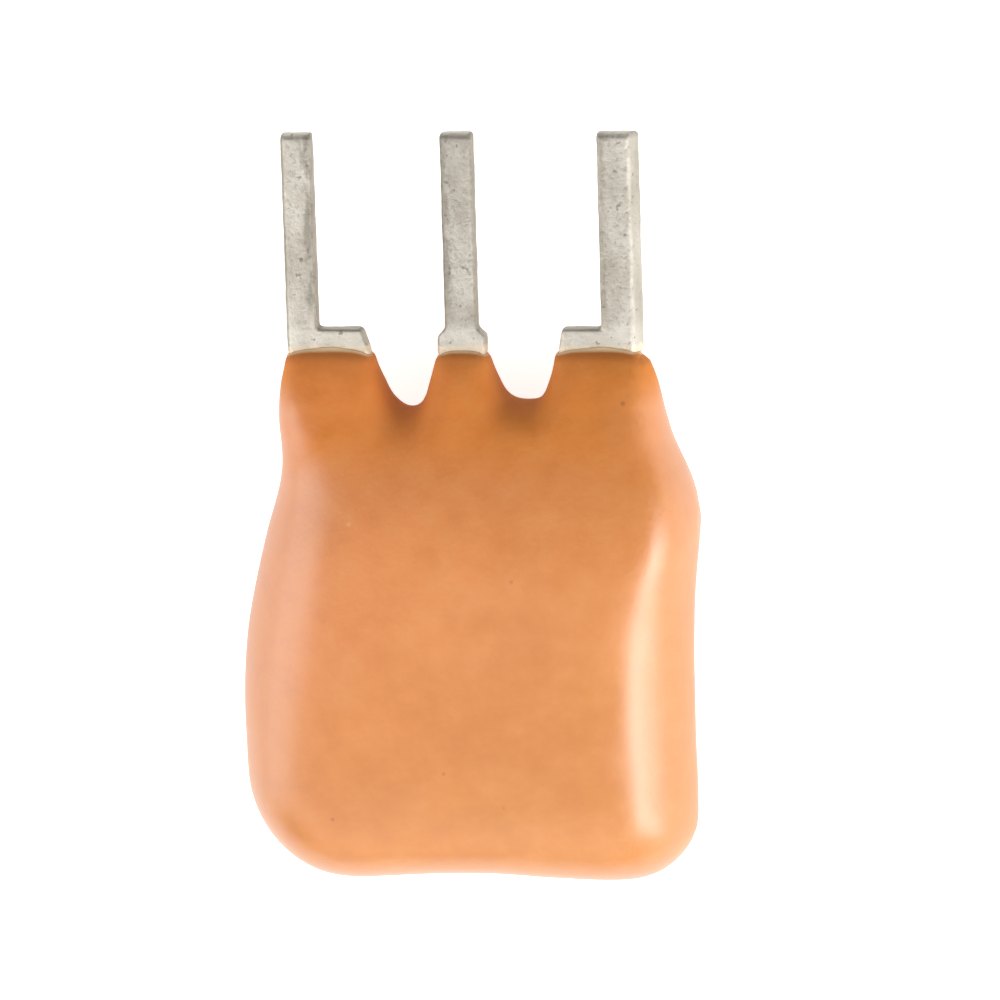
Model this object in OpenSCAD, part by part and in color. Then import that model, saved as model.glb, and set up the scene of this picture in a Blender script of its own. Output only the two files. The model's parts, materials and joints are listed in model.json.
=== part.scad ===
// Three-lead ceramic resonator with built-in load capacitors, dip coated.
// It lies on its back. The origin is on the seating plane, in the middle of the
// centre lead. +X is to the right, +Y runs to the lead tips, +Z is the front.

/* [Leads] */
// Distance between neighbouring leads
lead_pitch = 2.5; // [2.3:0.02:2.8]
// Width of the left and the centre lead
lead_w = 0.5; // [0.4:0.01:0.6]
// Width of the right lead
right_lead_w = 0.64; // [0.4:0.01:0.7]
// Thickness of the stamped strip that the leads are made of
lead_t = 0.3; // [0.2:0.01:0.4]
// Length of each lead from the seating plane to its tip
lead_len = 3.05; // [2:0.05:12]

/* [Feet of the leads] */
// Width of the foot under an outer lead
foot_w = 1.31; // [1.1:0.01:1.45]
// Width of the shoulder under the centre lead
shoulder_w = 0.76; // [0.7:0.01:0.84]
// Slanted corner of the left foot and of the shoulders
foot_chamfer = 0.12; // [0.04:0.01:0.2]
// Slanted corner of the right foot
right_chamfer = 0.05; // [0.02:0.01:0.2]
// Bare height of a foot between the seating plane and the resin
foot_show = 0.37; // [0.25:0.01:0.45]
// Step at the edges of a foot or shoulder where it enters the resin
root_step = 0.1; // [0.06:0.01:0.16]
// Depth of an outer foot inside the resin
foot_root = 0.85; // [0.6:0.01:1.1]
// Width of the centre lead inside the resin
neck_w = 0.6; // [0.5:0.01:0.66]
// Distance from the upper end of the resin to the bend in the centre lead
bend_drop = 0.55; // [0.4:0.01:0.8]
// Distance from this bend to the plates
bend_gap = 0.1; // [0.02:0.01:0.3]
// Length of the centre lead along the ground electrode
tail_len = 2.3; // [1.2:0.05:3.4]

/* [Ceramic elements] */
// Width of both ceramic plates
plate_w = 4.6; // [4:0.05:4.9]
// Height of both ceramic plates
plate_h = 5.4; // [4.6:0.05:7]
// Distance from the seating plane to the plates
plate_drop = 2; // [1.9:0.02:2.6]
// Thickness of the piezoelectric plate
piezo_t = 0.4; // [0.2:0.01:0.7]
// Thickness of the capacitor plate
cap_t = 0.45; // [0.25:0.01:0.7]
// Height of an outer lead's own shoulder above the plates
rail_rise = 0.3; // [0.1:0.01:0.34]
// Overlap of an outer lead on the plates
rail_grip = 0.42; // [0.3:0.01:0.6]
// Ledge of an outer lead beyond the plates, for the solder
rail_ledge = 0.31; // [0.25:0.01:0.36]

/* [Electrodes and solder] */
// Thickness of the silver electrodes
film_t = 0.02; // [0.01:0.005:0.04]
// Diameter of the round electrode that sets the frequency
spot_d = 1.8; // [1.2:0.05:2.4]
// Width of the electrode strips
strip_w = 0.9; // [0.5:0.05:1.3]
// Height of each capacitor electrode
pad_h = 4.4; // [3.2:0.05:4.5]
// Gap between the two front capacitor electrodes
pad_gap = 1.6; // [1:0.05:2.4]
// Bare ceramic above and below the ground electrode
ground_margin = 0.3; // [0.1:0.01:0.6]
// Thickness of the solder around the edge of an outer lead
solder_t = 0.1; // [0.05:0.01:0.16]
// Share of the thickness of each plate that this solder covers
solder_climb = 0.75; // [0.4:0.05:0.9]
// Width of the solder on each side of the centre lead
solder_side = 0.3; // [0.15:0.01:0.5]
// Width of this solder at its crest
solder_crest = 0.06; // [0.02:0.01:0.12]
// Height of this solder on the ground electrode
solder_rise = 0.21; // [0.1:0.01:0.3]
// Length of the centre lead that is soldered
solder_len = 1.1; // [0.6:0.05:1.15]

/* [Cavity] */
// Diameter of the hollow that lets the piezoelectric plate vibrate
cavity_d = 2.6; // [2:0.05:3]
// Depth of the hollow in front of the plate
cavity_gap = 0.15; // [0.08:0.01:0.3]

/* [Resin coat] */
// Resin in front of the hollow
coat_front = 0.76; // [0.4:0.02:1.2]
// Resin behind the centre lead
coat_back = 0.56; // [0.35:0.01:1]
// Resin on the left of the leads, at the belly
coat_left = 0.87; // [0.5:0.01:1.2]
// Resin on the right of the leads, at the belly
coat_right = 0.69; // [0.5:0.01:1.2]
// Resin on the left of the leads, at the waist
waist_left = 0.14; // [0.1:0.01:0.3]
// Resin on the right of the leads, at the shoulder
shoulder_right = 0.79; // [0.5:0.01:1.2]
// Resin on the left of the left foot, at its upper corner
corner_left_top = 0.03; // [0.02:0.01:0.1]
// Resin on the right of the right foot, at its upper corner
corner_right_top = 0.1; // [0.05:0.01:0.2]
// Resin below the plates
coat_bottom = 1.33; // [1:0.02:1.8]
// Resin on each face of the feet, at its upper end
coat_hump = 0.3; // [0.15:0.01:0.4]
// How much lower the resin ends on the centre lead than on the feet
centre_drop = 0.06; // [0:0.01:0.1]
// Fall of the upper end of the resin from the middle of a foot to its edges
arch_fall = 0.05; // [0.02:0.01:0.08]
// Distance from the top of the plates down to the full thickness of the body
swell_drop = 1.84; // [1.4:0.02:2.4]
// Resin between the centre lead and each notch
notch_side = 0.06; // [0.04:0.01:0.12]
// Resin between an outer foot and its notch
notch_foot = 0.07; // [0.04:0.01:0.12]
// Resin between the bottom of the left notch and the plates
notch_left = 0.78; // [0.6:0.01:1]
// Resin between the bottom of the right notch and the plates
notch_right = 0.9; // [0.6:0.01:1]
// Width of the left side between the outline and the front
left_r = 1.14; // [0.9:0.02:1.3]
// Width of the right side between the outline and the front, at the belly
right_r = 1.1; // [0.9:0.02:1.3]
// Width of the right side between the outline and the front, at the shoulder
shoulder_r = 0.46; // [0.4:0.02:0.9]
// Radius that rounds the lower end
base_r = 1; // [0.6:0.02:1.2]
// How flat the two long sides are between the front and the outline, from 2, round, downwards
side_power = 1.75; // [1.3:0.05:2]
// Height of the gentle crown of the front face
crown = 0.14; // [0:0.01:0.25]
// Distance from the outline to the top of the crown
crown_r = 2.8; // [1.6:0.1:3.2]
// Radius that rounds the upper end of the resin
hump_r = 0.4; // [0.25:0.01:0.5]
// Radius of the lower left corner
corner_left = 1.7; // [0.8:0.05:1.8]
// Radius of the lower right corner
corner_right = 1; // [0.4:0.05:1.6]
// Waviness of the lower end
wave = 0.05; // [0:0.01:0.1]

/* [Hidden] */
silver = "gainsboro";
tin = "lightgray";

// Outer edges of the outer leads, and the part of these leads that holds the plates
left_edge = lead_pitch + lead_w / 2;
right_edge = lead_pitch + right_lead_w / 2;
rail_in = plate_w / 2 - rail_grip;
rail_out = plate_w / 2 + film_t + rail_ledge;
left_out = max(left_edge, rail_out);
right_out = max(right_edge, rail_out);

// Heights along Y
plate_top = -plate_drop;
plate_bottom = plate_top - plate_h;
plate_mid = (plate_top + plate_bottom) / 2;
body_bottom = plate_bottom - coat_bottom;
hump_top = -foot_show;
foot_bottom = hump_top - foot_root;
bend_top = hump_top - bend_drop;
bend_bottom = plate_top + bend_gap;
tail_end = plate_top - tail_len;
full_y = plate_top - swell_drop;

// Levels along Z
face_z = lead_t / 2;
piezo_z = face_z + film_t;
piezo_front = piezo_z + piezo_t;
cap_z = -face_z - film_t;
cap_back = cap_z - cap_t;
ground_z = cap_back - film_t;
tail_z = ground_z - face_z;
front_z = piezo_front + film_t + cavity_gap + coat_front;
back_z = lead_t - ground_z + coat_back;
hump_z = face_z + coat_hump;

// ---- Outline of the resin ------------------------------------------------

// Slope at point i of a smooth curve through the points p = [[t, value], ...]
function slope(p, i) =
    let (a = p[max(0, i - 1)], b = p[min(len(p) - 1, i + 1)])
    (b[1] - a[1]) / (b[0] - a[0]);

// Value at t of the smooth curve through the points p, with rising t
function curve(p, t) =
    let (
        i = max([0, for (k = [0:len(p) - 2]) if (t > p[k][0]) k]),
        w = p[i + 1][0] - p[i][0],
        u = min(1, max(0, (t - p[i][0]) / w))
    )
    p[i][1] * (1 + 2 * u) * (1 - u) * (1 - u)
        + p[i + 1][1] * u * u * (3 - 2 * u)
        + slope(p, i) * w * u * (1 - u) * (1 - u)
        - slope(p, i + 1) * w * u * u * (1 - u);

// Steps from 0 to 1, close together at both ends
function steps(n) = [for (i = [0:n]) (1 - cos(180 * i / n)) / 2];

// Left and right sides of the body, as [Y, X] from the lower end up
left_side = [
    [body_bottom, -left_out - 0.97 * coat_left],
    [plate_bottom, -left_out - 0.97 * coat_left],
    [plate_mid - 1, -left_out - coat_left],
    [plate_mid, -left_out - 0.87 * coat_left],
    [plate_top - 1.3, -left_out - 0.5 * coat_left],
    [plate_top - 0.2, -left_out - waist_left],
    [foot_bottom, -left_out - 1.2 * waist_left],
    [hump_top, -left_edge - corner_left_top],
];
right_side = [
    [body_bottom, right_out + 0.9 * coat_right],
    [plate_bottom, right_out + 0.97 * coat_right],
    [plate_mid, right_out + 0.97 * coat_right],
    [plate_top - 1.5, right_out + 0.3 * coat_right + 0.7 * shoulder_right],
    [plate_top - 0.9, right_out + shoulder_right],
    [plate_top, right_out + 0.68 * shoulder_right],
    [foot_bottom, right_out + 0.38 * shoulder_right],
    [hump_top, right_edge + corner_right_top],
];
function left_x(y) = curve(left_side, y);
function right_x(y) = curve(right_side, y);

// The two notches between the leads, from left to right: their edges, their lowest
// level, and how square their left and their right wall is
notches = [
    [
        -left_edge + foot_w + notch_foot, -shoulder_w / 2 - notch_side,
        plate_top + notch_left, 1.8, 3,
    ],
    [
        shoulder_w / 2 + notch_side, right_edge - foot_w - notch_foot,
        plate_top + notch_right, 3, 4,
    ],
];

// Upper end of the resin: a low arch on each foot, with a notch between the feet
function arch_y(x, x0, x1, top) =
    let (t = (2 * x - x0 - x1) / (x1 - x0))
    top - arch_fall * t * t;
function notch_y(x, n) =
    let (
        t = (2 * x - n[0] - n[1]) / (n[1] - n[0]),
        square = t < 0 ? n[3] : n[4],
        share = pow(max(0, 1 - pow(abs(t), square)), 0.8)
    )
    n[2] * share + (hump_top - arch_fall) * (1 - share);
function top_y(x) =
    x < notches[0][0] ? arch_y(x, left_x(hump_top), notches[0][0], hump_top)
    : x < notches[0][1] ? notch_y(x, notches[0])
    : x < notches[1][0] ? arch_y(x, notches[0][1], notches[1][0], hump_top - centre_drop)
    : x < notches[1][1] ? notch_y(x, notches[1])
    : arch_y(x, notches[1][1], right_x(hump_top), hump_top);

// Lower end of the resin: a slightly wavy line with two round corners
function bottom_y(s) =
    let (
        x0 = left_x(body_bottom),
        x1 = right_x(body_bottom),
        w = x1 - x0,
        u = max(0, 1 - s * w / corner_left),
        v = max(0, 1 - (1 - s) * w / corner_right)
    )
    body_bottom + wave * (1 + sin(570 * s - 200))
        + corner_left * (1 - sqrt(1 - u * u))
        + corner_right * (1 - sqrt(1 - v * v));

// ---- Thickness of the resin ----------------------------------------------

// Distance from the point p to the line from a to b
function line_distance(p, a, b) =
    let (ab = b - a, t = min(1, max(0, (p - a) * ab / (ab * ab))))
    norm(p - a - t * ab);
function edge_distance(p, line) =
    min([for (i = [0:len(line) - 1]) line_distance(p, line[i], line[(i + 1) % len(line)])]);

// How far the body has swelled at the height y, from 0 at its upper end to 1
function swell(y) = sin(90 * min(1, max(0, (hump_top - y) / (hump_top - full_y))));

// Share from 0 to 1 of the way from a to b, with a soft start and a soft end
function ease(v, a, b) =
    let (t = min(1, max(0, (v - a) / (b - a))))
    t * t * (3 - 2 * t);

// Width of the two long sides between the outline and the front, as [Y, width]
left_flank = [
    [body_bottom, base_r],
    [plate_bottom + 0.5, 0.8 * left_r],
    [plate_mid, left_r],
    [plate_top, 0.75 * left_r],
    [foot_bottom, 1.1 * hump_r],
    [hump_top, hump_r],
];
right_flank = [
    [body_bottom, base_r],
    [plate_bottom + 0.5, right_r],
    [plate_mid - 0.2, right_r],
    [plate_top - 1.7, 0.5 * right_r + 0.5 * shoulder_r],
    [plate_top - 0.9, shoulder_r],
    [hump_top, hump_r],
];
function side_width(p) =
    let (s = ease(p[0], -1, 1))
    (1 - s) * curve(left_flank, p[1]) + s * curve(right_flank, p[1]);

// Share of the full thickness at the point p, at the distance d from the outline
function round_share(p, d) =
    let (
        flat = swell(p[1]) * ease(p[1], body_bottom + 0.4 * base_r, body_bottom + 2 * base_r),
        power = 2 + (side_power - 2) * flat,
        t = 1 - min(1, d / side_width(p))
    )
    pow(1 - pow(t, power), 1 / power);

// Level of the front and of the back at the point p, at the distance d from the outline
function front_level(p, d) =
    let (rise = crown * swell(p[1]), full = hump_z + (front_z - hump_z) * swell(p[1]))
    (full - rise) * round_share(p, d) + rise * sin(90 * min(1, d / crown_r));
function back_level(p, d) =
    -(hump_z + (back_z - hump_z) * swell(p[1])) * round_share(p, d);

// ---- Pieces --------------------------------------------------------------

// Body of resin with nothing inside it: a front and a back that meet at the outline
module coat_body() {
    rows = 30;
    spans = [12, 12, 8, 12, 14];
    marks = [left_x(hump_top), notches[0][0], notches[0][1],
             notches[1][0], notches[1][1], right_x(hump_top)];
    xs = concat([for (k = [0:4]) for (i = [0:spans[k] - 1])
                    marks[k] + (marks[k + 1] - marks[k]) * steps(spans[k])[i]], [marks[5]]);
    n = len(xs);
    grid = [for (x = xs)
        let (
            y1 = top_y(x),
            s = (x - left_x(y1)) / (right_x(y1) - left_x(y1)),
            y0 = bottom_y(s)
        )
        [for (v = steps(rows))
            let (y = y0 + v * (y1 - y0))
            [left_x(y) + s * (right_x(y) - left_x(y)), y]]];
    line = concat(
        [for (i = [0:n - 1]) grid[i][0]],
        [for (j = [1:rows]) grid[n - 1][j]],
        [for (i = [n - 2:-1:0]) grid[i][rows]],
        [for (j = [rows - 1:-1:1]) grid[0][j]]);
    edge = len(line);
    inner = [for (i = [1:n - 2]) for (j = [1:rows - 1]) grid[i][j]];
    depth = [for (p = inner) edge_distance(p, line)];
    points = concat(
        [for (p = line) [p[0], p[1], 0]],
        [for (k = [0:len(inner) - 1])
            [inner[k][0], inner[k][1], front_level(inner[k], depth[k])]],
        [for (k = [0:len(inner) - 1])
            [inner[k][0], inner[k][1], back_level(inner[k], depth[k])]]);
    // Number of the point in column i and row j, on the front or on the back
    function index(i, j, back) =
        j == 0 ? i
        : i == n - 1 ? n - 1 + j
        : j == rows ? n - 1 + rows + n - 1 - i
        : i == 0 ? edge - j
        : edge + back * len(inner) + (i - 1) * (rows - 1) + j - 1;
    faces = [for (i = [n - 2:-1:0]) for (j = [rows - 1:-1:0]) for (back = [0, 1])
        let (
            a = index(i, j, back),
            b = index(i + 1, j, back),
            c = index(i + 1, j + 1, back),
            d = index(i, j + 1, back),
            // Diagonals start at the nearest corner, so no triangle lies in the outline's plane
            pair = (i < n / 2) == (j < rows / 2) ? [[a, b, c], [a, c, d]] : [[a, b, d], [b, c, d]]
        )
        each back == 1 ? pair : [for (f = pair) [f[2], f[1], f[0]]]];
    polyhedron(points, faces, convexity = 6);
}

module body_coat() {
    color("sandybrown") difference() {
        coat_body();
        lead_left();
        lead_centre();
        lead_right();
        resonator_plate();
        resonator_electrode_front();
        resonator_electrode_back();
        capacitor_plate();
        capacitor_electrode_left();
        capacitor_electrode_right();
        capacitor_electrode_ground();
        solder_left();
        solder_centre();
        solder_right();
        cavity();
    }
}

// Hollow on both faces of the piezoelectric plate
module cavity() {
    translate([0, plate_mid, -face_z])
        cylinder(d = cavity_d, h = front_z - coat_front + face_z, $fn = 64);
}

// Outer lead, stamped from flat strip: lead, foot and rail, with side = -1 or 1
module outer_lead(side, width, chamfer) {
    edge = lead_pitch + width / 2;
    foot_edge = edge - foot_w;
    outline = [
        [edge, lead_len],
        [edge - width, lead_len],
        [edge - width, 0],
        [foot_edge + chamfer, 0],
        [foot_edge, -foot_show],
        [foot_edge, foot_bottom],
        [rail_in, plate_top + rail_rise],
        [rail_in, plate_bottom],
        [rail_out, plate_bottom],
        [rail_out, plate_top + rail_rise],
        [edge - root_step, foot_bottom],
        [edge - root_step, hump_top - root_step],
        [edge, hump_top],
    ];
    color(tin) translate([0, 0, -face_z]) linear_extrude(lead_t)
        polygon([for (p = outline) [side * p[0], p[1]]]);
}

module lead_left() {
    outer_lead(-1, lead_w, foot_chamfer);
}

module lead_right() {
    outer_lead(1, right_lead_w, right_chamfer);
}

// Centre lead: bent back inside the resin to reach the ground electrode
module lead_centre() {
    outline = [
        [lead_w / 2, lead_len],
        [-lead_w / 2, lead_len],
        [-lead_w / 2, 0],
        [-shoulder_w / 2, -foot_chamfer],
        [-shoulder_w / 2, hump_top],
        [-neck_w / 2, hump_top - 2 * root_step],
        [-neck_w / 2, tail_end],
        [neck_w / 2, tail_end],
        [neck_w / 2, hump_top - 2 * root_step],
        [shoulder_w / 2, hump_top],
        [shoulder_w / 2, -foot_chamfer],
        [lead_w / 2, 0],
    ];
    side = [
        [lead_len, face_z],
        [lead_len, -face_z],
        [bend_top, -face_z],
        [bend_bottom, tail_z - face_z],
        [tail_end, tail_z - face_z],
        [tail_end, tail_z + face_z],
        [bend_bottom, tail_z + face_z],
        [bend_top, face_z],
    ];
    color(tin) intersection() {
        translate([0, 0, tail_z - lead_t]) linear_extrude(2 * lead_t - tail_z)
            polygon(outline);
        rotate([90, 0, 90]) translate([0, 0, -shoulder_w]) linear_extrude(2 * shoulder_w)
            polygon(side);
    }
}

// Rectangular plate centred on X, with its lower face at z
module plate(z, t) {
    translate([-plate_w / 2, plate_bottom, z]) cube([plate_w, plate_h, t]);
}

module resonator_plate() {
    color("tan") plate(piezo_z, piezo_t);
}

module capacitor_plate() {
    color("khaki") plate(cap_back, cap_t);
}

// Round spot with a strip to one end of the plate, and the part that wraps that end
module spot_electrode(side, z) {
    reach = plate_w / 2 + film_t;
    strip = [side > 0 ? 0 : -reach, plate_mid - strip_w / 2];
    translate([0, plate_mid, z]) cylinder(d = spot_d, h = film_t, $fn = 64);
    translate([strip[0], strip[1], z]) cube([reach, strip_w, film_t]);
    translate([side > 0 ? plate_w / 2 : -reach, strip[1], face_z])
        cube([film_t, strip_w, piezo_t + 2 * film_t]);
}

module resonator_electrode_front() {
    color(silver) {
        spot_electrode(1, piezo_front);
        translate([rail_in, plate_mid - strip_w / 2, face_z])
            cube([rail_grip + film_t, strip_w, film_t]);
    }
}

module resonator_electrode_back() {
    color(silver) spot_electrode(-1, face_z);
}

// Outer electrode of the capacitor, which wraps the end of its plate
module capacitor_electrode(side) {
    inner = pad_gap / 2;
    reach = plate_w / 2 + film_t;
    color(silver) {
        translate([side > 0 ? inner : -reach, plate_mid - pad_h / 2, cap_z])
            cube([reach - inner, pad_h, film_t]);
        translate([side > 0 ? plate_w / 2 : -reach, plate_mid - pad_h / 2, cap_back])
            cube([film_t, pad_h, cap_t + film_t]);
    }
}

module capacitor_electrode_left() {
    capacitor_electrode(-1);
}

module capacitor_electrode_right() {
    capacitor_electrode(1);
}

module capacitor_electrode_ground() {
    width = plate_w - 2 * rail_grip;
    color(silver) translate([-width / 2, plate_bottom + ground_margin, ground_z])
        cube([width, plate_h - 2 * ground_margin, film_t]);
}

// Solder around the edge of an outer lead, up to the wrapped ends of both plates
module edge_solder(side) {
    inner = plate_w / 2 + film_t;
    outer = rail_out + solder_t;
    profile = [
        [inner, piezo_z + solder_climb * piezo_t],
        [outer, face_z],
        [outer, -face_z],
        [inner, cap_z - solder_climb * cap_t],
        [inner, -face_z],
        [rail_out, -face_z],
        [rail_out, face_z],
        [inner, face_z],
    ];
    color("silver") translate([0, plate_mid + strip_w / 2, 0]) rotate([90, 0, 0])
        linear_extrude(strip_w) polygon([for (p = profile) [side * p[0], p[1]]]);
}

module solder_left() {
    edge_solder(-1);
}

module solder_right() {
    edge_solder(1);
}

// Solder around the end of the centre lead, on the ground electrode
module solder_centre() {
    foot = neck_w / 2 + solder_side;
    crest = neck_w / 2 + solder_crest;
    profile = [
        [-foot, ground_z],
        [foot, ground_z],
        [crest, ground_z - solder_rise],
        [-crest, ground_z - solder_rise],
    ];
    color("silver") difference() {
        translate([0, tail_end + solder_len, 0]) rotate([90, 0, 0])
            linear_extrude(solder_len + solder_side) polygon(profile);
        translate([-neck_w / 2, tail_end, tail_z - face_z])
            cube([neck_w, tail_len, lead_t]);
    }
}

body_coat();
lead_left();
lead_centre();
lead_right();
resonator_plate();
resonator_electrode_front();
resonator_electrode_back();
capacitor_plate();
capacitor_electrode_left();
capacitor_electrode_right();
capacitor_electrode_ground();
solder_left();
solder_centre();
solder_right();
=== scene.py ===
"""Three-lead ceramic resonator with built-in load capacitors, dip coated in orange resin."""

import json
import math

import bmesh
import bpy
from mathutils import Matrix, Vector, kdtree

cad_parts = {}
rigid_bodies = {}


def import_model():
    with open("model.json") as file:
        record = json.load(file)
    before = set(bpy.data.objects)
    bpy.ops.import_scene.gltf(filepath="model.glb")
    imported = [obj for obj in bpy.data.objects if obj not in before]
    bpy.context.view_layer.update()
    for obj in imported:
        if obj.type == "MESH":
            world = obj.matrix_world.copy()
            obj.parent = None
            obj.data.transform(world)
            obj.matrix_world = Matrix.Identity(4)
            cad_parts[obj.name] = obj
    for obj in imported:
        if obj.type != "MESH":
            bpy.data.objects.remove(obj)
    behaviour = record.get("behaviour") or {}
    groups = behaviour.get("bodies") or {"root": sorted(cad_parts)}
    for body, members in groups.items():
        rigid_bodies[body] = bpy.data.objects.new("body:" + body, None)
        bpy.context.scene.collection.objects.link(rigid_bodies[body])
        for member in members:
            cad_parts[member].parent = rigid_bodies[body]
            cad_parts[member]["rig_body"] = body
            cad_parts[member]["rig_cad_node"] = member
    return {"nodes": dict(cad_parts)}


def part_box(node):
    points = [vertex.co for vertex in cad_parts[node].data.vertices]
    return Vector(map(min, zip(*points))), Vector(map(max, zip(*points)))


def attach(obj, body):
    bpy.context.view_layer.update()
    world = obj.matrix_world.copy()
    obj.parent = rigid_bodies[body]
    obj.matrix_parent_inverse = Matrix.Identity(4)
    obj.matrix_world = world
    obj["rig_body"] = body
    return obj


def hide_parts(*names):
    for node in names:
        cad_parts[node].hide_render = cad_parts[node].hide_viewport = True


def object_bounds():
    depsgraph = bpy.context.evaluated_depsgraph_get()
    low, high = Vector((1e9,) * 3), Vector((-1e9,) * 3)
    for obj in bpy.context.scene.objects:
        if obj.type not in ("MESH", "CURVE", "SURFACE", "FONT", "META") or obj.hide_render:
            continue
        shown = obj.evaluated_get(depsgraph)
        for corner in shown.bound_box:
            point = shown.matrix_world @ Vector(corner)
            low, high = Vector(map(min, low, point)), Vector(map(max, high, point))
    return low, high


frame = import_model()
cad_low, cad_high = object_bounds()


# ---- Table, light and camera ------------------------------------------------
# The part lies on its back on a plain pale table inside a light tent, and is seen from
# above, a little from its right and from its lead tips.

bpy.context.scene.view_settings.view_transform = "Standard"


def add_node(tree, kind, feeds=(), **settings):
    """A shader node with its settings, and what feeds its inputs: values or other sockets."""
    made = tree.nodes.new("ShaderNode" + kind)
    for key, value in settings.items():
        setattr(made, key, value)
    for key, value in dict(feeds).items():
        if isinstance(value, bpy.types.NodeSocket):
            tree.links.new(value, made.inputs[key])
        else:
            made.inputs[key].default_value = value
    return made


def ramp(tree, value, low, high, to_low=0.0, to_high=1.0, curve="SMOOTHSTEP"):
    """Goes from one level to the other while the value runs from low to high."""
    made = add_node(tree, "MapRange", {"Value": value, "From Min": low, "From Max": high,
                                       "To Min": to_low, "To Max": to_high},
                    interpolation_type=curve)
    return made.outputs["Result"]


def maths(tree, operation, first, second=0.0):
    return add_node(tree, "Math", {0: first, 1: second}, operation=operation).outputs[0]


table_half = 0.6
table_gap = 0.00002
glow_seen = 0.75
glow_mirrored = 0.6
glow_spread = 0.12
white_spread = 0.7
bpy.ops.mesh.primitive_plane_add(size=2 * table_half, location=(0, 0, cad_low.z - table_gap))
table = bpy.context.object
table.name = "pale_table"
bpy.ops.object.transform_apply(location=True, rotation=True, scale=True)
table_paper = bpy.data.materials.new("pale_table_paper")
table_paper.use_nodes = True
paper = table_paper.node_tree
shine = paper.nodes["Principled BSDF"]
shine.inputs["Roughness"].default_value = 0.9
shine.inputs["Specular IOR Level"].default_value = 0.1
shine.inputs["Emission Color"].default_value = (1, 1, 1, 1)
where = add_node(paper, "TexCoord").outputs["Object"]
fibres = add_node(paper, "TexNoise", {"Vector": where, "Scale": 900}).outputs["Fac"]
paper_tone = ramp(paper, fibres, 0, 1, 0.90, 0.93, "LINEAR")
# The table is lit from below. Most of that light goes straight up, some is mirrored by the
# part's flanks, and little spreads over the part.
light_path = add_node(paper, "LightPath").outputs
is_seen = light_path["Is Camera Ray"]
whiteness = ramp(paper, is_seen, 0, 1, white_spread, 1.0, "LINEAR")
paper.links.new(maths(paper, "MULTIPLY", paper_tone, whiteness), shine.inputs["Base Color"])
glow_on_part = ramp(paper, light_path["Is Glossy Ray"], 0, 1, glow_spread, glow_mirrored, "LINEAR")
table_glow = ramp(paper, is_seen, 0, 1, glow_on_part, glow_seen, "LINEAR")
paper.links.new(table_glow, shine.inputs["Emission Strength"])
table.data.materials.append(table_paper)

# The tent is brightest overhead, dimmer towards the table and darkest behind the lead tips
tent = bpy.data.worlds.new("light_tent")
tent.use_nodes = True
cloth = tent.node_tree
facing = add_node(cloth, "TexCoord").outputs["Generated"]
facing = add_node(cloth, "SeparateXYZ", {0: facing}).outputs
overhead = ramp(cloth, facing["Z"], 0, 1, 0.4, 0.44)
curtain = ramp(cloth, facing["Y"], 0.1, 0.8, 1.0, 0.5, "LINEAR")
sky = cloth.nodes["Background"]
sky.inputs["Color"].default_value = (1, 0.995, 0.985, 1)
cloth.links.new(maths(cloth, "MULTIPLY", overhead, curtain), sky.inputs["Strength"])
bpy.context.scene.world = tent

body_middle = Vector((0, -0.004, 0))
right_flank = Vector((0.0031, -0.0068, 0.0009))


def soft_box(name, place, aim, width, height, power):
    """An area light that isn't seen itself."""
    bpy.ops.object.light_add(type="AREA", location=place)
    box = bpy.context.object
    box.name = name
    box.data.shape = "RECTANGLE"
    box.data.size = width
    box.data.size_y = height
    box.data.energy = power
    box.rotation_euler = (aim - Vector(place)).to_track_quat("-Z", "Y").to_euler()
    box.visible_camera = False


soft_box("soft_box_right", (0.2, -0.05, 0.085), body_middle, 0.17, 0.22, 0.32)
soft_box("strip_box_right", (0.2, -0.09, 0.07), body_middle, 0.05, 0.09, 0.06)
soft_box("small_card_right", (0.0335, -0.016, 0.0255), right_flank, 0.012, 0.012, 0.0034)
soft_box("soft_box_left", (-0.2, -0.015, 0.1), body_middle, 0.2, 0.25, 0.34)
soft_box("soft_box_low", (0.03, -0.24, 0.22), body_middle, 0.5, 0.36, 0.5)

view_middle = Vector((0, -0.003, 0))
view_distance = 0.12
view_right, view_up = 0.000493, 0.00027
yaw, tilt, roll = (math.radians(angle) for angle in (9, 12, -1.74))
look = -Vector((math.sin(yaw) * math.cos(tilt), math.sin(tilt), math.cos(yaw) * math.cos(tilt)))
level = look.cross(Vector((0, 1, 0))).normalized()
upright = level.cross(look)
across = level * math.cos(roll) + upright * math.sin(roll)
above = upright * math.cos(roll) - level * math.sin(roll)
stand = view_middle - look * view_distance + across * view_right + above * view_up
bpy.ops.object.camera_add()
camera = bpy.context.object
turn = Matrix((across, above, -look)).transposed().to_4x4()
camera.matrix_world = Matrix.Translation(stand) @ turn
camera.data.sensor_width = 36
camera.data.lens = 278.5
camera.data.clip_start = 0.001
camera.data.clip_end = 10
bpy.context.scene.camera = camera


# ---- Leads --------------------------------------------------------------------
# Three leads stamped from one flat strip and dipped in tin. An outer lead is a pin on a
# wide foot, and goes on inside the resin as a rail beside the ceramic plates. The centre
# lead has two small shoulders, and is bent back to the ground electrode.

# They are shaped in millimetres, and brought to metres when they are finished
METRES = 0.001
near = 0.01

lead_width = 0.5
right_lead_width = 0.64
tip_bevel = 0.07
foot_show = 0.37
foot_root = 0.85
root_step = 0.1
rail_rise = 0.3
rail_grip = 0.42
rail_ledge = 0.33
neck_half = 0.3
shoulder_drop = 0.12
bend_drop = 0.55
bend_gap = 0.1

edge_roll = 0.028
tin_grain = 0.035
ripple_patch = 0.35
ripple_height = 0.022
ripple_end = -foot_show - 0.3
ripple_fade = 0.2
flat_reach = 0.015


def in_mm(node):
    """Lowest and highest corner of a node of the CAD model."""
    low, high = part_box(node)
    return low / METRES, high / METRES


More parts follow.
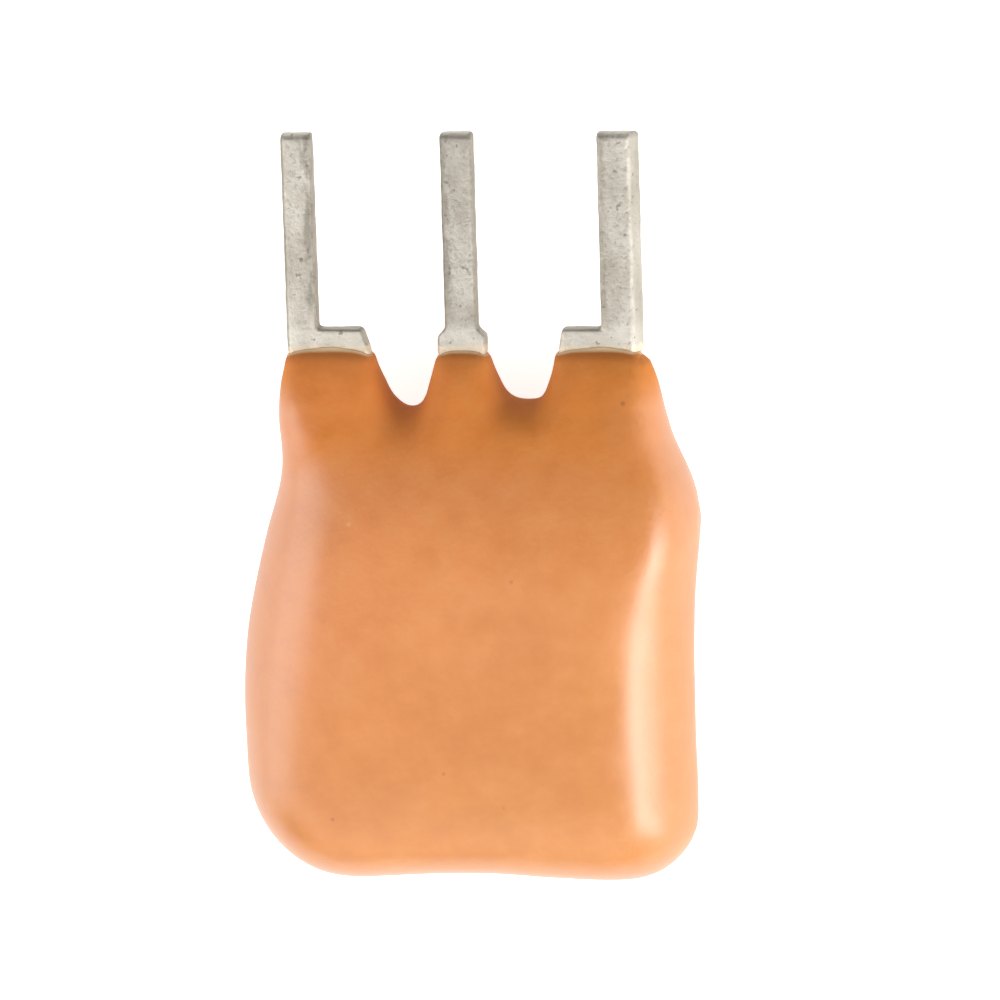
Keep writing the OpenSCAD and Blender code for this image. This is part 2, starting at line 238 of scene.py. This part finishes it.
plate_low, plate_high = in_mm("resonator_plate")
lead_low, lead_high = in_mm("lead_left")
strip = lead_high.z - lead_low.z
foot_edge = min(abs(lead_low.x), abs(lead_high.x))
lead_edge = max(abs(lead_low.x), abs(lead_high.x))


def choose(kind, test):
    """Selects the vertices, edges or faces of the piece in edit mode whose middle passes."""
    bpy.ops.mesh.select_mode(type=kind)
    bpy.ops.mesh.select_all(action="DESELECT")
    shape = bmesh.from_edit_mesh(bpy.context.edit_object.data)
    items = {"VERT": shape.verts, "EDGE": shape.edges, "FACE": shape.faces}[kind]
    for item in items:
        corners = [item] if kind == "VERT" else item.verts
        middle = sum((corner.co for corner in corners), Vector()) / len(corners)
        item.select_set(bool(test(middle, item)))
    shape.select_flush_mode()
    bmesh.update_edit_mesh(bpy.context.edit_object.data)


def block(name, low, high):
    """A block of strip between two corners, in edit mode."""
    bpy.ops.object.select_all(action="DESELECT")
    bpy.ops.mesh.primitive_cube_add(size=1, location=(low + high) / 2, scale=high - low)
    bpy.context.object.name = name
    bpy.ops.object.transform_apply(location=True, rotation=True, scale=True)
    bpy.ops.object.mode_set(mode="EDIT")


def draw_out(facing, level, length, back=0.0, test=lambda x: True):
    """Extrudes the end faces at a level of Y, up or down the lead."""
    choose("FACE", lambda m, f: f.normal.y * facing > 0.9 and abs(m.y - level) < near and test(m.x))
    bpy.ops.mesh.extrude_region_move(TRANSFORM_OT_translate={"value": (0, facing * length, back)})


def slide(test, move):
    """Moves the corners that pass the test."""
    choose("VERT", lambda m, v: test(m))
    bpy.ops.transform.translate(value=move)


def shear_tip(tip, front):
    """The front edge of the tip, rounded by the shears."""
    choose("EDGE", lambda m, e: m.y > tip - near and m.z > front - near)
    bpy.ops.mesh.bevel(offset=tip_bevel, segments=1)


def take_up(piece):
    """Makes a piece the only one selected, and the active one."""
    bpy.ops.object.select_all(action="DESELECT")
    piece.select_set(True)
    bpy.context.view_layer.objects.active = piece


def finish_modifier(piece, kind, **settings):
    """Adds a modifier with these settings and applies it."""
    take_up(piece)
    modifier = piece.modifiers.new(kind.lower(), kind)
    for key, value in settings.items():
        setattr(modifier, key, value)
    bpy.ops.object.modifier_apply(modifier=modifier.name)


def share_of(value, start, length):
    """How far a value has come from its start along a length, from 0 to 1."""
    return min(1, max(0, (value - start) / length))


tin_ripple = bpy.data.textures.new("tin_ripple", "CLOUDS")
tin_ripple.noise_scale = ripple_patch
tin_ripple.noise_depth = 3


def tin_over(piece, tip, flats):
    """Rolls the stamped edges over and gives the strip the slightly uneven skin of dipped tin.
    Inside the resin it stays flat on the planes that touch the plates and the solder."""
    finish_modifier(piece, "BEVEL", width=edge_roll, segments=2, limit_method="ANGLE",
                    angle_limit=math.radians(25))
    finish_modifier(piece, "REMESH", mode="VOXEL", voxel_size=tin_grain)
    finish_modifier(piece, "SMOOTH", factor=0.5, iterations=4)
    bare = piece.vertex_groups.new(name="bare")
    for vertex in piece.data.vertices:
        bare.add([vertex.index], share_of(vertex.co.y, ripple_end, ripple_fade), "REPLACE")
    finish_modifier(piece, "DISPLACE", texture=tin_ripple, texture_coords="LOCAL",
                    strength=ripple_height, mid_level=0.4, vertex_group="bare")
    piece.vertex_groups.clear()
    for vertex in piece.data.vertices:
        vertex.co.y = min(vertex.co.y, tip)
        for flat in flats:
            if vertex.co.y < ripple_end and abs(vertex.co.z - flat) < flat_reach:
                vertex.co.z = flat
    bpy.ops.object.shade_smooth()


def outer_lead(name, node, side, width, chamfer, worn_edge):
    """The left or the right lead. The stamping tool dragged its outer front edge over."""
    low, high = in_mm(node)
    inside = min(abs(low.x), abs(high.x))
    outside = max(abs(low.x), abs(high.x))
    block(name, Vector((min(side * outside, side * inside), -foot_show, low.z)),
          Vector((max(side * outside, side * inside), 0, high.z)))
    bpy.ops.mesh.select_all(action="SELECT")
    bpy.ops.mesh.bisect(plane_co=(side * (outside - width), 0, 0), plane_no=(1, 0, 0))
    # The pin, above the outer part of the foot
    draw_out(1, 0, high.y, test=lambda x: abs(x) > outside - width)
    slide(lambda m: abs(m.y) < near and abs(m.x) < inside + near, (side * chamfer, 0, 0))
    # The foot narrows where it enters the resin, and runs on as the rail
    draw_out(-1, -foot_show, root_step)
    step_y = -foot_show - root_step
    slide(lambda m: m.y < step_y + near and abs(m.x) > outside - near, (-side * root_step, 0, 0))
    draw_out(-1, step_y, foot_root - root_step)
    root_y = -foot_show - foot_root
    rail_y = plate_high.y + rail_rise
    rail_in = plate_high.x - rail_grip
    rail_out = plate_high.x + rail_ledge
    root_out = outside - root_step
    draw_out(-1, root_y, root_y - rail_y)
    slide(lambda m: m.y < rail_y + near and abs(m.x) < inside + near,
          (side * (rail_in - inside), 0, 0))
    slide(lambda m: m.y < rail_y + near and abs(m.x) > root_out - near,
          (side * (rail_out - root_out), 0, 0))
    draw_out(-1, rail_y, rail_y - plate_low.y)
    shear_tip(high.y, high.z)
    slide(lambda m: m.z > high.z - tip_bevel - near and abs(m.x) > root_out - near,
          (-side * worn_edge, 0, 0))
    bpy.ops.object.mode_set(mode="OBJECT")
    piece = bpy.context.object
    tin_over(piece, high.y, (low.z, high.z))
    return piece


def centre_lead(name):
    low, high = in_mm("lead_centre")
    shoulder_half = high.x
    neck_y = -foot_show - 2 * root_step
    bend_top = -foot_show - bend_drop
    bend_bottom = plate_high.y + bend_gap
    block(name, Vector((-shoulder_half, -foot_show, lead_low.z)),
          Vector((shoulder_half, -shoulder_drop, lead_high.z)))
    draw_out(1, -shoulder_drop, shoulder_drop)
    bpy.ops.transform.resize(value=(lead_width / 2 / shoulder_half, 1, 1))
    draw_out(1, 0, high.y)
    draw_out(-1, -foot_show, 2 * root_step)
    bpy.ops.transform.resize(value=(neck_half / shoulder_half, 1, 1))
    draw_out(-1, neck_y, neck_y - bend_top)
    draw_out(-1, bend_top, bend_top - bend_bottom, back=low.z - lead_low.z)
    draw_out(-1, bend_bottom, bend_bottom - low.y)
    shear_tip(high.y, lead_high.z)
    bpy.ops.object.mode_set(mode="OBJECT")
    piece = bpy.context.object
    tin_over(piece, high.y, (lead_low.z, lead_high.z, low.z, low.z + strip))
    return piece


left_lead = outer_lead("tinned_lead_left", "lead_left", -1, lead_width, 0.12, 0.02)
middle_lead = centre_lead("tinned_lead_centre")
right_lead = outer_lead("tinned_lead_right", "lead_right", 1, right_lead_width, 0.05, 0.13)


def mixed(tree, share, first, second):
    """Colour between two colours."""
    made = add_node(tree, "Mix", {0: share, 6: first, 7: second}, data_type="RGBA")
    return made.outputs[2]


def new_finish(name, roughness, metallic=0.0):
    """A material with its shader, and the place on the piece in millimetres."""
    material = bpy.data.materials.new(name)
    material.use_nodes = True
    tree = material.node_tree
    shader = tree.nodes["Principled BSDF"]
    shader.inputs["Roughness"].default_value = roughness
    shader.inputs["Metallic"].default_value = metallic
    place = add_node(tree, "TexCoord").outputs["Object"]
    place = add_node(tree, "Mapping", {"Vector": place, "Scale": (1000, 1000, 1000)}).outputs[0]
    return material, tree, shader, place


# Cloudy unevenness that every skin here has: a mask from 0 to 1 in patches of a given size
uneven = bpy.data.node_groups.new("uneven_skin", "ShaderNodeTree")
for label, kind in (("Place", "NodeSocketVector"), ("Patch", "NodeSocketFloat"),
                    ("Detail", "NodeSocketFloat"), ("Contrast", "NodeSocketFloat")):
    uneven.interface.new_socket(name=label, in_out="INPUT", socket_type=kind)
uneven.interface.new_socket(name="Mask", in_out="OUTPUT", socket_type="NodeSocketFloat")
given = uneven.nodes.new("NodeGroupInput").outputs
cloud = add_node(uneven, "TexNoise", {"Vector": given["Place"], "Detail": given["Detail"],
                                      "Scale": maths(uneven, "DIVIDE", 1.0, given["Patch"])})
spread = maths(uneven, "MULTIPLY", maths(uneven, "SUBTRACT", cloud.outputs["Fac"], 0.5),
               given["Contrast"])
mask = add_node(uneven, "Math", {0: spread, 1: 0.5}, operation="ADD", use_clamp=True)
uneven.links.new(mask.outputs[0], uneven.nodes.new("NodeGroupOutput").inputs["Mask"])


def uneven_mask(tree, place, patch, detail, contrast):
    made = tree.nodes.new("ShaderNodeGroup")
    made.node_tree = uneven
    tree.links.new(place, made.inputs["Place"])
    for label, value in (("Patch", patch), ("Detail", detail), ("Contrast", contrast)):
        made.inputs[label].default_value = value
    return made.outputs["Mask"]


def relief(tree, shader, height, depth):
    """Fine relief of a skin, depth in metres."""
    bump = add_node(tree, "Bump", {"Height": height, "Distance": depth, "Strength": 1.0})
    tree.links.new(bump.outputs["Normal"], shader.inputs["Normal"])


dull_tin = Vector((0.60, 0.55, 0.47))
bright_tin = Vector((0.82, 0.78, 0.70))
foot_painted_light = (0.93, 0.90, 0.82, 1)
pitted_tin = (0.42, 0.38, 0.31, 1)
streak_painted_shade = (0.28, 0.25, 0.205, 1)
side_painted_shade = (0.36, 0.33, 0.275, 1)
sheared_end_and_shade = (0.36, 0.33, 0.28, 1)
dross = (0.2, 0.18, 0.15, 1)
resin_film = (0.97, 0.82, 0.62, 1)


def tin_finish(name, brightness, pin, streak, side_dulling_and_shade):
    """Matt dipped tin. The pin is given by its middle and half its width, and the streak
    of painted shade along it by its middle, half its width and its strength."""
    material, tree, shader, place = new_finish(name, 0.45, 1.0)
    axes = add_node(tree, "SeparateXYZ", {0: place}).outputs
    stretched = add_node(tree, "Mapping", {"Vector": place, "Scale": (1, 0.35, 1)}).outputs[0]
    patches = uneven_mask(tree, stretched, 0.3, 5, 2.6)
    grain = uneven_mask(tree, place, 0.06, 3, 2.6)
    ragged = uneven_mask(tree, stretched, 0.1, 6, 3.0)
    colour = mixed(tree, patches, [*(dull_tin * brightness), 1], [*(bright_tin * brightness), 1])
    colour = mixed(tree, ramp(tree, grain, 0.45, 0.0, 0, 0.45), colour, pitted_tin)
    # Painted light: the lead is lightened towards the resin, to cancel the shade that the coat's
    # humps cast on it
    colour = mixed(tree, ramp(tree, axes[1], 0.15, -0.1, 0, 0.45), colour, foot_painted_light)
    # Painted shade: a dark streak with a ragged edge, on the front of the pin
    middle, half, strength = streak
    off = maths(tree, "ABSOLUTE", maths(tree, "SUBTRACT", axes[0], middle))
    off = maths(tree, "ADD", off, maths(tree, "MULTIPLY", ragged, 0.12))
    in_streak = maths(tree, "MULTIPLY", ramp(tree, off, half + 0.11, half),
                      ramp(tree, axes[2], 0.08, 0.13))
    in_streak = maths(tree, "MULTIPLY", in_streak, ramp(tree, axes[1], 0.05, 0.5))
    colour = mixed(tree, maths(tree, "MULTIPLY", in_streak, strength), colour, streak_painted_shade)
    # Sheared sides: rougher metal, and darker by painted shade that dims their highlights
    normal = add_node(tree, "NewGeometry").outputs["Normal"]
    sideways = maths(tree, "ABSOLUTE", add_node(tree, "SeparateXYZ", {0: normal}).outputs[0])
    sheared_and_shaded = ramp(tree, sideways, 0.08, 0.5, 0, side_dulling_and_shade)
    colour = mixed(tree, sheared_and_shaded, colour, side_painted_shade)
    # Specks of dross
    specks = ramp(tree, uneven_mask(tree, place, 0.11, 2, 1.0), 0.66, 0.73, 0, 0.6)
    colour = mixed(tree, specks, colour, dross)
    # Darker tip, partly bare metal of the sheared tip and partly painted shade on its upward bevel,
    # and painted shade on the upper edge of the foot
    tip_edge = lead_high.y - tip_bevel
    bare_tip_and_shade = ramp(tree, axes[1], tip_edge - 0.04, tip_edge, 0, 0.3)
    middle, half = pin
    beside_pin = maths(tree, "ABSOLUTE", maths(tree, "SUBTRACT", axes[0], middle))
    beside_pin = ramp(tree, beside_pin, half - 0.01, half + 0.02)
    ledge_painted_shade = maths(tree, "MULTIPLY", ramp(tree, axes[1], -0.05, -0.015, 0, 0.8), beside_pin)
    colour = mixed(tree, maths(tree, "MAXIMUM", bare_tip_and_shade, ledge_painted_shade), colour, sheared_end_and_shade)
    # Thin film of resin that has crept up from the coat
    crept = maths(tree, "ADD", axes[1], maths(tree, "MULTIPLY", ragged, 0.05))
    film = ramp(tree, crept, -foot_show + 0.16, -foot_show + 0.10, 0, 0.6)
    tree.links.new(mixed(tree, film, colour, resin_film), shader.inputs["Base Color"])
    rough = maths(tree, "ADD", ramp(tree, grain, 0, 1, 0.50, 0.64),
                  maths(tree, "MULTIPLY", sheared_and_shaded, 0.35))
    tree.links.new(rough, shader.inputs["Roughness"])
    relief(tree, shader, maths(tree, "ADD", grain, maths(tree, "MULTIPLY", patches, 1.5)), 5e-6)
    return material


# The resin is cut round moulds of the leads, which stay in millimetres
lead_moulds = []
for lead, node, brightness, pin, streak, side_dulling_and_shade in (
        (left_lead, "lead_left", 0.95, (-2.5, 0.25), (-2.32, 0.05, 0.6), 0.6),
        (middle_lead, "lead_centre", 0.83, (0, 0.25), (-0.2, 0.05, 0.6), 0.6),
        (right_lead, "lead_right", 0.88, (2.5, 0.32), (2.23, 0.04, 0.5), 0.3)):
    lead.data.materials.append(tin_finish(node + "_tin", brightness, pin, streak, side_dulling_and_shade))
    mould = lead.copy()
    mould.data = lead.data.copy()
    bpy.context.scene.collection.objects.link(mould)
    lead_moulds.append(mould)
    lead.data.transform(Matrix.Scale(METRES, 4))
    lead.data.update()
    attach(lead, "root")
    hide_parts(node)


# ---- Ceramic plates -----------------------------------------------------------
# The piezoelectric plate that vibrates, in front of the leads, and the plate of the two
# load capacitors behind them. Both are lapped ceramic, sawn to size and unglazed.

def ceramic_finish(name, pale, dark):
    material, tree, shader, place = new_finish(name, 0.75)
    clouds = uneven_mask(tree, place, 1.2, 3, 1.6)
    grains = uneven_mask(tree, place, 0.03, 2, 2.0)
    colour = mixed(tree, clouds, dark, pale)
    colour = mixed(tree, ramp(tree, grains, 0.55, 0.9, 0, 0.4), colour, dark)
    tree.links.new(colour, shader.inputs["Base Color"])
    tree.links.new(ramp(tree, grains, 0, 1, 0.65, 0.85), shader.inputs["Roughness"])
    relief(tree, shader, grains, 4e-6)
    return material


def refinish(node, material):
    """Gives a CAD node its finish in place of the plain one."""
    for place in frame["nodes"][node].material_slots:
        place.material = material


refinish("resonator_plate",
         ceramic_finish("piezo_ceramic", (0.74, 0.63, 0.45, 1), (0.62, 0.51, 0.35, 1)))
refinish("capacitor_plate",
         ceramic_finish("capacitor_ceramic", (0.80, 0.74, 0.60, 1), (0.68, 0.61, 0.47, 1)))


# ---- Silver electrodes --------------------------------------------------------
# Thin silver, printed and fired on both plates. It is matt and shows the print's mesh.

silver_print, tree, shader, place = new_finish("printed_silver", 0.4, 1.0)
blotches = uneven_mask(tree, place, 0.6, 3, 1.8)
mesh_mark = uneven_mask(tree, place, 0.02, 1, 2.0)
tree.links.new(mixed(tree, blotches, (0.74, 0.73, 0.70, 1), (0.88, 0.87, 0.85, 1)),
               shader.inputs["Base Color"])
tree.links.new(ramp(tree, mesh_mark, 0, 1, 0.35, 0.55), shader.inputs["Roughness"])
relief(tree, shader, mesh_mark, 2e-6)
electrodes = ["resonator_electrode_front", "resonator_electrode_back",
              "capacitor_electrode_left", "capacitor_electrode_right",
              "capacitor_electrode_ground"]
for electrode in electrodes:
    refinish(electrode, silver_print)


# ---- Solder -------------------------------------------------------------------
# Reflowed solder that holds the plates on the rails, and the centre lead on the ground
# electrode. Smooth and bright, with a few dull flux stains.

reflowed, tree, shader, place = new_finish("reflowed_solder", 0.25, 1.0)
flux = uneven_mask(tree, place, 0.25, 2, 2.5)
tree.links.new(mixed(tree, flux, (0.62, 0.62, 0.62, 1), (0.80, 0.81, 0.83, 1)),
               shader.inputs["Base Color"])
tree.links.new(ramp(tree, flux, 0, 1, 0.38, 0.2), shader.inputs["Roughness"])
relief(tree, shader, flux, 8e-6)
solder_joints = ["solder_left", "solder_centre", "solder_right"]
for joint in solder_joints:
    refinish(joint, reflowed)


# ---- Resin coat ---------------------------------------------------------------
# The finished element is dipped upside down in orange epoxy, which runs round the plates,
# climbs a little way up each foot and sags into two notches between the leads. It is one
# closed body round everything inside it, with a satin skin that has a few pits.

skin_grain = 0.058
skin_smoothing = 220
root_cut = -foot_show - 0.09
centre_foot_half = 0.38
centre_hump_half = 0.45
outer_hump_half = 0.55 * (lead_edge - foot_edge)
outer_hump_from = foot_edge - 0.4
foot_middle = (foot_edge + lead_edge) / 2
hump_side = 0.3
rim_half = 0.17
sag_height = 0.04
silver_film = 0.02
cavity_gap = 0.15
cavity_radius = 1.3

# How much the resin moves, and the zone of each move: the height on the part where it starts,
# and the length over which it grows
hump_climb, climb_zone = 0.13, (-1.3, 0.9)
notch_drain, drain_zone = 0.05, (-1.9, 0.6)
hump_round, round_zone = 0.12, (-0.9, 0.4)
rim_thinning, thinning_zone = 0.2, (-1.1, 0.7)
side_thinning, rim_zone = 0.8, (-0.56, 0.14)
shoulder_hollow, shoulder_y, shoulder_reach = 0.06, -1.75, 0.8
shoulder_zone = (lead_edge - 0.9, 0.9)
body_zone, front_zone = (-1.1, -0.9), (0.1, 0.5)
sag_zone = (-1.0, -0.6)


def merged_copy(node):
    """A copy of a CAD node in millimetres, with its loose triangles merged."""
    copy = frame["nodes"][node].copy()
    copy.data = copy.data.copy()
    copy.parent = None
    copy.hide_viewport = False
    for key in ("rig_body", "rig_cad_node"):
        del copy[key]
    bpy.context.scene.collection.objects.link(copy)
    take_up(copy)
    copy.data.transform(Matrix.Scale(1 / METRES, 4))
    bpy.ops.object.mode_set(mode="EDIT")
    bpy.ops.mesh.select_all(action="SELECT")
    bpy.ops.mesh.remove_doubles(threshold=1e-5)
    bpy.ops.object.mode_set(mode="OBJECT")
    return copy


def keep_outer_shell(piece):
    """Of the closed shells in a piece, only the one with its lowest point stays."""
    take_up(piece)
    bpy.ops.object.mode_set(mode="EDIT")
    tail = min(vertex.co.y for vertex in piece.data.vertices)
    choose("VERT", lambda m, v: m.y < tail + 1e-6)
    bpy.ops.mesh.select_linked()
    bpy.ops.mesh.select_all(action="INVERT")
    bpy.ops.mesh.delete(type="VERT")
    bpy.ops.object.mode_set(mode="OBJECT")


def cut_out(piece, cutter):
    """Takes the cutter's shape out of the piece."""
    finish_modifier(piece, "BOOLEAN", object=cutter, operation="DIFFERENCE", solver="MANIFOLD")


def eased(value, start, length):
    """The share of the way that a value has come, which grows softly from 0 to 1."""
    share = share_of(value, start, length)
    return share * share * (3 - 2 * share)


cores = [merged_copy(node)
         for node in ("resonator_plate", "resonator_electrode_front", "resonator_electrode_back",
                      "capacitor_plate", "capacitor_electrode_left", "capacitor_electrode_right",
                      "capacitor_electrode_ground", "solder_left", "solder_centre",
                      "solder_right")]
roots = [merged_copy(node) for node in ("lead_left", "lead_centre", "lead_right")]

# The leads are cut off just inside the resin, so that the skin closes over them
for root in roots:
    take_up(root)
    bpy.ops.object.mode_set(mode="EDIT")
    bpy.ops.mesh.select_all(action="SELECT")
    bpy.ops.mesh.bisect(plane_co=(0, root_cut, 0), plane_no=(0, 1, 0),
                        use_fill=True, clear_outer=True)
    bpy.ops.object.mode_set(mode="OBJECT")

# The coat is filled with what it holds, and its skin is laid over the whole
resin = merged_copy("body_coat")
resin.name = "resin_skin"
resin.data.name = "resin_skin"
filling = []
for core in cores + roots:
    double = core.copy()
    double.data = core.data.copy()
    bpy.context.scene.collection.objects.link(double)
    filling.append(double)
take_up(resin)
for double in filling:
    double.select_set(True)
bpy.ops.object.join()
for root in roots:
    bpy.data.objects.remove(root)
finish_modifier(resin, "REMESH", mode="VOXEL", voxel_size=skin_grain)
keep_outer_shell(resin)
finish_modifier(resin, "SMOOTH", factor=0.5, iterations=8)
body = resin.vertex_groups.new(name="body")
for vertex in resin.data.vertices:
    share = share_of(vertex.co.z, *front_zone) * share_of(vertex.co.y, *body_zone)
    body.add([vertex.index], share, "REPLACE")
finish_modifier(resin, "SMOOTH", factor=0.5, iterations=skin_smoothing, vertex_group="body")
resin.vertex_groups.clear()

# The resin creeps up the feet, drains out of the notches, and thins out towards its rim
for vertex in resin.data.vertices:
    point = vertex.co
    aside = abs(point.x)
    beside = min(max(foot_edge - aside, 0), max(aside - centre_foot_half, 0))
    on_lead = eased(beside, hump_side, -hump_side)
    if aside < outer_hump_from:
        corner = aside / centre_hump_half
    else:
        corner = abs(aside - foot_middle) / outer_hump_half
    rounding = hump_round * min(1, corner) ** 4 * eased(point.y, *round_zone)
    thin = rim_thinning * eased(point.y, *thinning_zone)
    thin += (1 - rim_thinning) * eased(point.y, *rim_zone)
    point.y += hump_climb * on_lead * eased(point.y, *climb_zone) - rounding
    point.y -= notch_drain * (1 - on_lead) * eased(point.y, *drain_zone)
    if abs(point.z) > rim_half:
        point.z += (math.copysign(rim_half, point.z) - point.z) * thin
    hollow = eased(abs(point.y - shoulder_y), shoulder_reach, -shoulder_reach)
    point.x -= shoulder_hollow * hollow * eased(point.x, *shoulder_zone)
    if abs(point.x) > lead_edge:
        point.x += (math.copysign(lead_edge, point.x) - point.x) * thin * side_thinning

# It sags unevenly over the body, and stays inside the size of the part
sag = bpy.data.textures.new("resin_sag", "CLOUDS")
sag.noise_scale = 1.6
sag.noise_depth = 1
swell = resin.vertex_groups.new(name="swell")
for vertex in resin.data.vertices:
    swell.add([vertex.index], eased(vertex.co.y, *sag_zone), "REPLACE")
finish_modifier(resin, "DISPLACE", texture=sag, texture_coords="LOCAL", strength=sag_height,
                mid_level=0, vertex_group="swell")
resin.vertex_groups.clear()
coat_low, coat_high = in_mm("body_coat")
for vertex in resin.data.vertices:
    point = vertex.co
    point.x = min(coat_high.x, max(coat_low.x, point.x))
    point.y = max(coat_low.y, point.y)
    point.z = min(coat_high.z, max(coat_low.z, point.z))
bpy.ops.object.shade_smooth()

for cutter in cores + lead_moulds:
    cut_out(resin, cutter)
# The slivers that the cuts leave between a lead and its solder are taken away
keep_outer_shell(resin)

# The hollow that lets the piezoelectric plate vibrate
cavity_front = plate_high.z + silver_film + cavity_gap
bpy.ops.object.select_all(action="DESELECT")
bpy.ops.mesh.primitive_cylinder_add(
    vertices=64, radius=cavity_radius, depth=cavity_front - lead_low.z,
    location=(0, (plate_low.y + plate_high.y) / 2, (cavity_front + lead_low.z) / 2))
cavity = bpy.context.object
cut_out(resin, cavity)

# Distance of each point of the skin from the bare leads, for the thin rim of the resin
bare_tin = [vertex.co for mould in lead_moulds for vertex in mould.data.vertices
            if vertex.co.y > -foot_show - 0.02]
contact = kdtree.KDTree(len(bare_tin))
for index, point in enumerate(bare_tin):
    contact.insert(point, index)
contact.balance()
rim = resin.data.attributes.new("rim_distance", "FLOAT", "POINT")
for vertex in resin.data.vertices:
    rim.data[vertex.index].value = min(1.0, contact.find(vertex.co)[2])
for helper in cores + [cavity] + lead_moulds:
    bpy.data.objects.remove(helper)
resin.data.transform(Matrix.Scale(METRES, 4))
resin.data.update()

rich_resin_and_shading = (0.78, 0.245, 0.052, 1)
deep_resin_and_shading = (0.69, 0.24, 0.026, 1)
cloudy_resin = (0.63, 0.205, 0.03, 1)
pale_mottle = (0.74, 0.275, 0.06, 1)
dark_mottle = (0.60, 0.175, 0.012, 1)
pit_shade = (0.34, 0.10, 0.03, 1)
filler_shade = (0.85, 0.42, 0.17, 1)
rim_painted_shade = (0.36, 0.11, 0.03, 1)
thin_rim = (0.90, 0.68, 0.42, 1)

dipped, tree, shader, place = new_finish("dipped_resin", 0.4)
shader.inputs["Coat IOR"].default_value = 1.75
shader.inputs["Coat Roughness"].default_value = 0.38
shader.inputs["IOR"].default_value = 1.45
shader.inputs["Subsurface Weight"].default_value = 0.12
shader.inputs["Subsurface Radius"].default_value = (1.0, 0.45, 0.2)
shader.inputs["Subsurface Scale"].default_value = 0.0003
axes = add_node(tree, "SeparateXYZ", {0: place}).outputs
# The skin is glossy, but dull where it is thin, between the leads
outer = ramp(tree, maths(tree, "ABSOLUTE", axes[0]), 1.9, 2.8)
outer = maths(tree, "MULTIPLY", outer, ramp(tree, axes[1], -0.6, -1.3, 0, 0.9))
glossy = maths(tree, "MAXIMUM", ramp(tree, axes[1], -1.4, -2.4), outer)
tree.links.new(glossy, shader.inputs["Coat Weight"])
# The colour changes towards the lower right: partly the dip leaving it a little deeper in colour,
# and partly painted light and shade that follow the lamps. It is also cloudy and mottled
dip_and_painted_shading = maths(tree, "SUBTRACT", maths(tree, "MULTIPLY", axes[0], 0.9), axes[1])
colour = mixed(tree, ramp(tree, dip_and_painted_shading, 0.5, 7.6, curve="LINEAR"), rich_resin_and_shading, deep_resin_and_shading)
clouds = uneven_mask(tree, place, 1.7, 3, 1.6)
colour = mixed(tree, ramp(tree, clouds, 0.1, 0.9, 0, 0.5), colour, cloudy_resin)
mottle = uneven_mask(tree, place, 0.42, 5, 2.0)
colour = mixed(tree, ramp(tree, mottle, 0.45, 1.0, 0, 0.55), colour, pale_mottle)
colour = mixed(tree, ramp(tree, mottle, 0.6, 0.0, 0, 0.4), colour, dark_mottle)
# A few pinholes and pale specks of filler
cells = add_node(tree, "TexVoronoi", {"Vector": place, "Scale": 1.1})
chance = add_node(tree, "SeparateColor", {0: cells.outputs["Color"]}).outputs[0]
fleck = ramp(tree, cells.outputs["Distance"], 0.055, 0.02)
pinhole = maths(tree, "MULTIPLY", fleck, ramp(tree, chance, 0.68, 0.7))
filler = maths(tree, "MULTIPLY", fleck, ramp(tree, chance, 0.34, 0.32))
colour = mixed(tree, maths(tree, "MULTIPLY", pinhole, 0.5), colour, pit_shade)
colour = mixed(tree, maths(tree, "MULTIPLY", filler, 0.4), colour, filler_shade)
# Along the leads it is darker, painted shade where the coat meets the tin, and so thin at its very
# rim that the tin shows through
rim_distance = add_node(tree, "Attribute", attribute_name="rim_distance").outputs["Fac"]
colour = mixed(tree, ramp(tree, rim_distance, 0.22, 0.10, 0, 0.25), colour, rim_painted_shade)
colour = mixed(tree, ramp(tree, rim_distance, 0.08, 0.03, 0, 0.75), colour, thin_rim)
tree.links.new(colour, shader.inputs["Base Color"])
rough = maths(tree, "ADD", ramp(tree, mottle, 0, 1, 0.42, 0.52), ramp(tree, glossy, 1, 0, 0, 0.3))
tree.links.new(rough, shader.inputs["Roughness"])
orange_peel = uneven_mask(tree, place, 0.09, 2, 1.0)
relief(tree, shader, maths(tree, "ADD", orange_peel, clouds), 8e-6)
resin.data.materials.clear()
resin.data.materials.append(dipped)
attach(resin, "root")
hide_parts("body_coat")
